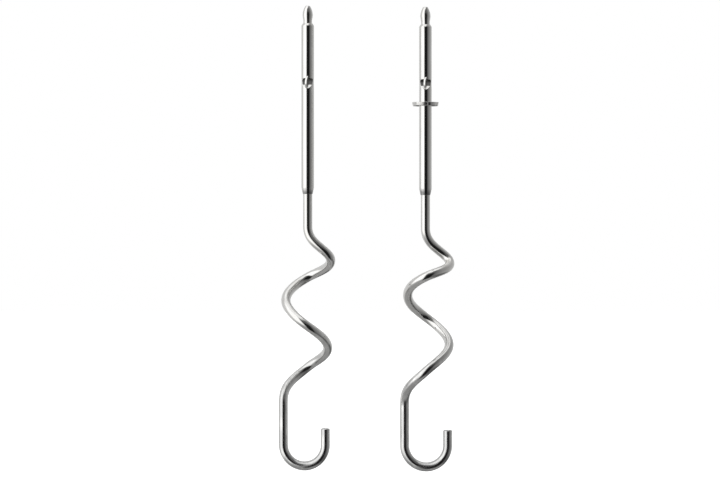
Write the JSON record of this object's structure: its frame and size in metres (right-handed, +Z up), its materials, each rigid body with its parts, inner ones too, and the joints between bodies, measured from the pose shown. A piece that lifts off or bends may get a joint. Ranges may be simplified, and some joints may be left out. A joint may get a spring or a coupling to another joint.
{
  "type": "hand mixer dough hooks",
  "caption": "Pair of steel dough hooks for a hand mixer: mirror-image wire turns ending in a J, on straight shanks with drive ears and bullet tips; one has a lobed keying collar.",
  "frame": {"origin": "on the plain hook's shank axis, at the top of the shank's round wall, just under its chamfer", "axes": "+Z up along both shanks towards the tips, +X from the plain hook to the collared hook, front is -Y"},
  "size_m": [0.0772, 0.0236, 0.2048],
  "materials": {
    "polished_wire": "polished stainless wire with faint drawing lines",
    "polished_shank": "polished stainless bar",
    "turned_pin": "turned and polished stainless pin",
    "pressed_collar": "satin stainless pressing"
  },
  "bodies": {
    "plain_hook": {"plain_hook_rod": "polished_wire", "plain_shank_bar": "polished_shank", "plain_tip_pin": "turned_pin"},
    "collared_hook": {"collared_hook_rod": "polished_wire", "collared_shank_bar": "polished_shank", "collared_tip_pin": "turned_pin", "keying_collar": "pressed_collar"}
  },
  "joints": [
    {"name": "collared_hook_spin", "type": "hinge", "parent": "plain_hook", "child": "collared_hook", "pos_m": [0.0518, 0, -0.0005], "axis": [0, 0, 1], "continuous": true}
  ]
}
